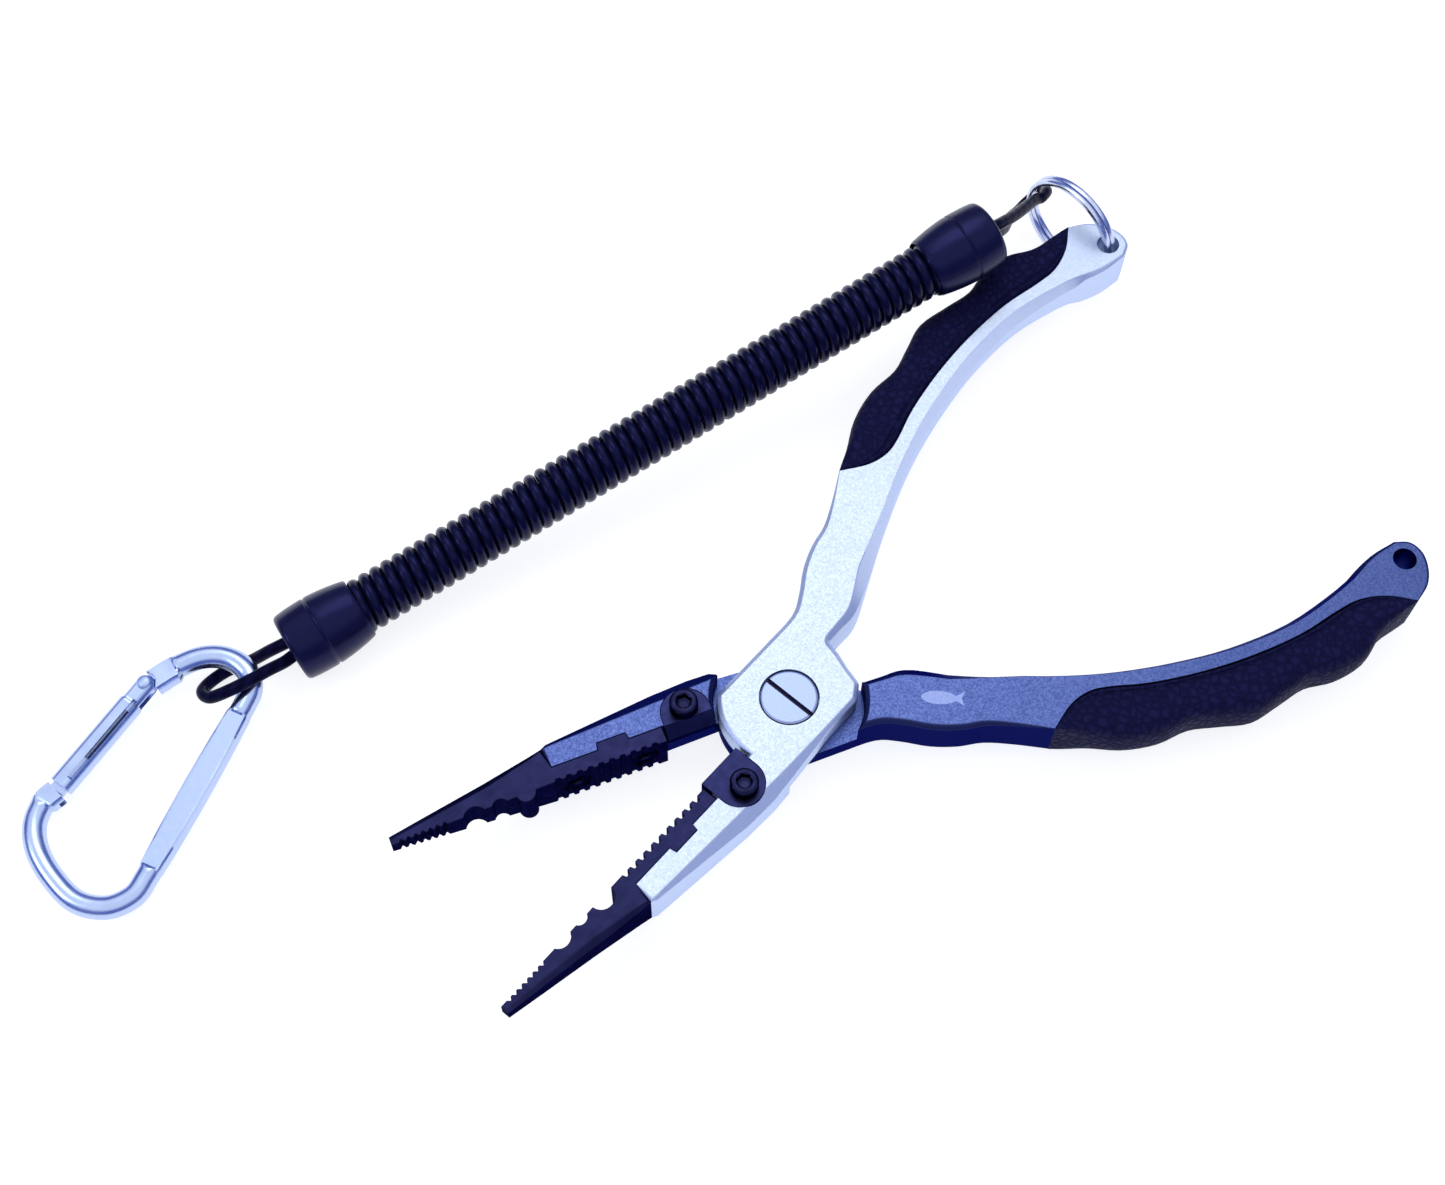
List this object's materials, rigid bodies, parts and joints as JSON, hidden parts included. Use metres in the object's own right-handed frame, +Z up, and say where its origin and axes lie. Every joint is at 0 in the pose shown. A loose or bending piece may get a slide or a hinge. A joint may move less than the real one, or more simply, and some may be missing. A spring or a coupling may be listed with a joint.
{
  "type": "fishing pliers",
  "caption": "Long-nose fishing pliers with side cutters, soft grips and a coiled lanyard that ends in a carabiner clip.",
  "frame": {"origin": "on the pivot axis, at the underside of the halves, where the nut's face lies", "axes": "+X along the closed centre line from the jaws to the handles, +Y towards the half that carries the lanyard, +Z up along the pivot screw"},
  "size_m": [0.2551, 0.1366, 0.0322],
  "materials": {
    "silver_aluminium": "bead-blasted clear anodised",
    "gunmetal_aluminium": "bead-blasted gunmetal anodised",
    "grip_rubber": "leather-grain moulded",
    "black_steel": "black oxide",
    "black_screw": "black oxide",
    "carbide": "ground black",
    "plain_steel": "turned",
    "washer_bronze": "plain",
    "spring_steel": "drawn",
    "ring_steel": "nickel plated",
    "cord_plastic": "gloss",
    "cap_plastic": "gloss",
    "carabiner_aluminium": "polished anodised"
  },
  "bodies": {
    "silver_half": {"silver_handle": "silver_aluminium", "silver_grip": "grip_rubber", "silver_jaw_insert": "black_steel", "silver_insert_screws": "black_screw", "silver_cutter": "carbide", "silver_cutter_screw": "black_screw", "pivot_screw": "plain_steel", "pivot_nut": "plain_steel", "friction_washer": "washer_bronze", "return_spring": "spring_steel", "ring_loop": "cord_plastic", "ring_cap_cup": "cap_plastic", "ring_cap_lid": "cap_plastic", "ring_ferrule": "plain_steel", "lanyard_coil": "cord_plastic", "clip_cap_cup": "cap_plastic", "clip_cap_lid": "cap_plastic", "clip_ferrule": "plain_steel", "clip_loop": "cord_plastic"},
    "gunmetal_half": {"gunmetal_handle": "gunmetal_aluminium", "gunmetal_grip": "grip_rubber", "gunmetal_jaw_insert": "black_steel", "gunmetal_insert_screws": "black_screw", "gunmetal_cutter": "carbide", "gunmetal_cutter_screw": "black_screw"},
    "ring": {"split_ring": "ring_steel"},
    "carabiner": {"carabiner_body": "carabiner_aluminium", "gate_pin": "plain_steel"},
    "gate": {"carabiner_gate": "carabiner_aluminium", "gate_spring": "spring_steel"}
  },
  "joints": [
    {"name": "handles_pivot", "type": "hinge", "parent": "silver_half", "child": "gunmetal_half", "pos_m": [0, 0, 0.005], "axis": [0, 0, 1], "range_deg": [0, 27], "stiffness_Nm_per_rad": 0.25, "springref_deg": -17.19},
    {"name": "ring_turn", "type": "hinge", "parent": "silver_half", "child": "ring", "pos_m": [0.1151, 0.0557, 0.0064], "axis": [0.9912, 0.1323, 0], "continuous": true},
    {"name": "carabiner_swing", "type": "hinge", "parent": "silver_half", "child": "carabiner", "pos_m": [-0.08833, 0.06925, -0.00009], "axis": [-0.0542, -0.0317, 0.998], "range_deg": [-6, 6]},
    {"name": "gate_hinge", "type": "hinge", "parent": "carabiner", "child": "gate", "pos_m": [-0.09833, 0.07765, -0.00036], "axis": [-0.0542, -0.0317, 0.998], "range_deg": [0, 28], "stiffness_Nm_per_rad": 0.01, "springref_deg": -20.05}
  ]
}
